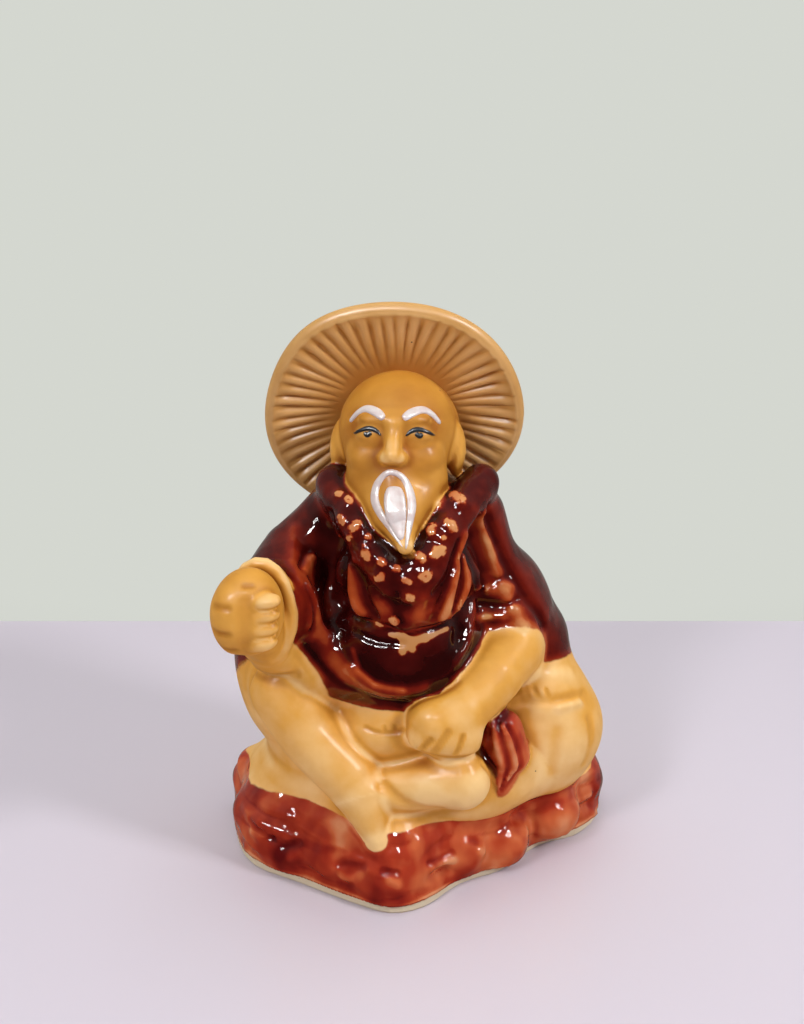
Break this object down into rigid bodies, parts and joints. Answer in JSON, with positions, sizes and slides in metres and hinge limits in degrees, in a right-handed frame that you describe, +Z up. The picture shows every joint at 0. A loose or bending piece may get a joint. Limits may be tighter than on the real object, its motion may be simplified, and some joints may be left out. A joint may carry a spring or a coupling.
{
  "type": "seated fisherman figurine",
  "caption": "Small hollow glazed earthenware figurine of an old fisherman in a round straw hat, seated cross-legged on a rock base.",
  "frame": {"origin": "middle of the overall box in plan, at the bottom of the bare foot", "axes": "+Z up, the figure faces -Y, +X is its left-hand side"},
  "size_m": [0.0648, 0.0508, 0.0926],
  "materials": {
    "bare_clay": "unglazed cream biscuit",
    "rock_glaze": "thick red-brown gloss glaze",
    "amber_glaze": "satin amber glaze",
    "straw_glaze": "satin tan-amber glaze with iron specks",
    "oxblood_glaze": "thick dark oxblood gloss glaze",
    "white_enamel": "raised pinkish-white enamel",
    "black_enamel": "raised black enamel"
  },
  "bodies": {
    "root": {"bare_foot": "bare_clay", "rock_base": "rock_glaze", "sash_tail": "rock_glaze", "robe": "amber_glaze", "right_leg": "amber_glaze", "left_leg": "amber_glaze", "right_foot": "amber_glaze", "left_foot": "amber_glaze", "right_fist": "amber_glaze", "right_forearm": "amber_glaze", "right_cuff": "amber_glaze", "left_hand": "amber_glaze", "left_forearm": "amber_glaze", "head": "amber_glaze", "beard": "amber_glaze", "hat": "straw_glaze", "jacket": "oxblood_glaze", "right_sleeve": "oxblood_glaze", "left_sleeve": "oxblood_glaze", "undershirt": "oxblood_glaze", "collar": "oxblood_glaze", "brow_right": "white_enamel", "brow_left": "white_enamel", "moustache": "white_enamel", "beard_tuft": "white_enamel", "eye_right": "black_enamel", "eye_left": "black_enamel"}
  },
  "joints": []
}
